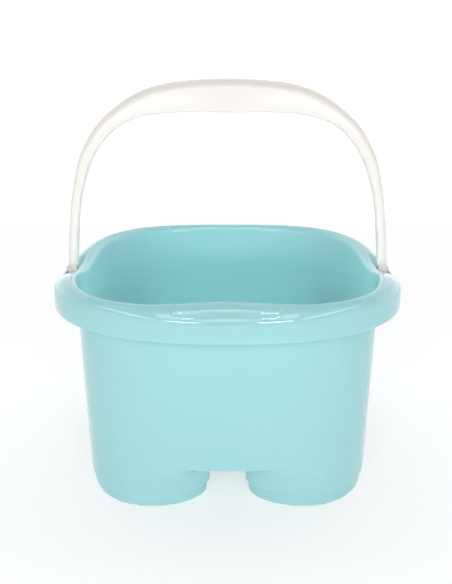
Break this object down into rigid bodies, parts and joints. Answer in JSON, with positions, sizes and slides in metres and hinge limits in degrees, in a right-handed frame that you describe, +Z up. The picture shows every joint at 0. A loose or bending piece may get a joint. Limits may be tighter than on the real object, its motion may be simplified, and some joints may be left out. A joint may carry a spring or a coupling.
{
  "type": "foot spa basin",
  "caption": "Moulded foot bath with a rolled rim, foot wells joined over an arch, ridged massage rollers and a folding carry handle.",
  "frame": {"origin": "on the ground, at the middle of the basin's footprint", "axes": "+Z up, -Y towards the user and the front of the basin, X across the two foot wells, from the left well at -X to the right well at +X"},
  "size_m": [0.3888, 0.3864, 0.4235],
  "materials": {
    "basin_plastic": "glossy moulded polypropylene, pale turquoise",
    "handle_plastic": "glossy moulded polypropylene, warm white",
    "tray_plastic": "satin moulded plastic, white",
    "roller_plastic": "satin moulded plastic, turquoise",
    "pin_steel": "bright stainless steel",
    "grip_rubber": "matt soft rubber"
  },
  "bodies": {
    "root": {"basin_shell": "basin_plastic", "grip_pad_left_front": "grip_rubber", "grip_pad_left_rear": "grip_rubber", "grip_pad_right_front": "grip_rubber", "grip_pad_right_rear": "grip_rubber", "handle_pin_left": "pin_steel", "roller_tray_left": "tray_plastic", "roller_axle_left_1": "pin_steel", "roller_axle_left_2": "pin_steel", "roller_axle_left_3": "pin_steel", "roller_axle_left_4": "pin_steel", "handle_pin_right": "pin_steel", "roller_tray_right": "tray_plastic", "roller_axle_right_1": "pin_steel", "roller_axle_right_2": "pin_steel", "roller_axle_right_3": "pin_steel", "roller_axle_right_4": "pin_steel"},
    "handle": {"carry_handle": "handle_plastic"},
    "roller_left_1": {"massage_roller_left_1": "roller_plastic"},
    "roller_left_2": {"massage_roller_left_2": "roller_plastic"},
    "roller_left_3": {"massage_roller_left_3": "roller_plastic"},
    "roller_left_4": {"massage_roller_left_4": "roller_plastic"},
    "roller_right_1": {"massage_roller_right_1": "roller_plastic"},
    "roller_right_2": {"massage_roller_right_2": "roller_plastic"},
    "roller_right_3": {"massage_roller_right_3": "roller_plastic"},
    "roller_right_4": {"massage_roller_right_4": "roller_plastic"}
  },
  "joints": [
    {"name": "handle_fold", "type": "hinge", "parent": "root", "child": "handle", "pos_m": [0, 0, 0.209], "axis": [1, 0, 0], "range_deg": [-67, 67]},
    {"name": "roller_spin_left_1", "type": "hinge", "parent": "root", "child": "roller_left_1", "pos_m": [-0.092, -0.078, 0.0181], "axis": [1, 0, 0], "continuous": true},
    {"name": "roller_spin_left_2", "type": "hinge", "parent": "root", "child": "roller_left_2", "pos_m": [-0.092, -0.026, 0.0181], "axis": [1, 0, 0], "continuous": true},
    {"name": "roller_spin_left_3", "type": "hinge", "parent": "root", "child": "roller_left_3", "pos_m": [-0.092, 0.026, 0.0181], "axis": [1, 0, 0], "continuous": true},
    {"name": "roller_spin_left_4", "type": "hinge", "parent": "root", "child": "roller_left_4", "pos_m": [-0.092, 0.078, 0.0181], "axis": [1, 0, 0], "continuous": true},
    {"name": "roller_spin_right_1", "type": "hinge", "parent": "root", "child": "roller_right_1", "pos_m": [0.092, -0.078, 0.0181], "axis": [1, 0, 0], "continuous": true},
    {"name": "roller_spin_right_2", "type": "hinge", "parent": "root", "child": "roller_right_2", "pos_m": [0.092, -0.026, 0.0181], "axis": [1, 0, 0], "continuous": true},
    {"name": "roller_spin_right_3", "type": "hinge", "parent": "root", "child": "roller_right_3", "pos_m": [0.092, 0.026, 0.0181], "axis": [1, 0, 0], "continuous": true},
    {"name": "roller_spin_right_4", "type": "hinge", "parent": "root", "child": "roller_right_4", "pos_m": [0.092, 0.078, 0.0181], "axis": [1, 0, 0], "continuous": true}
  ]
}
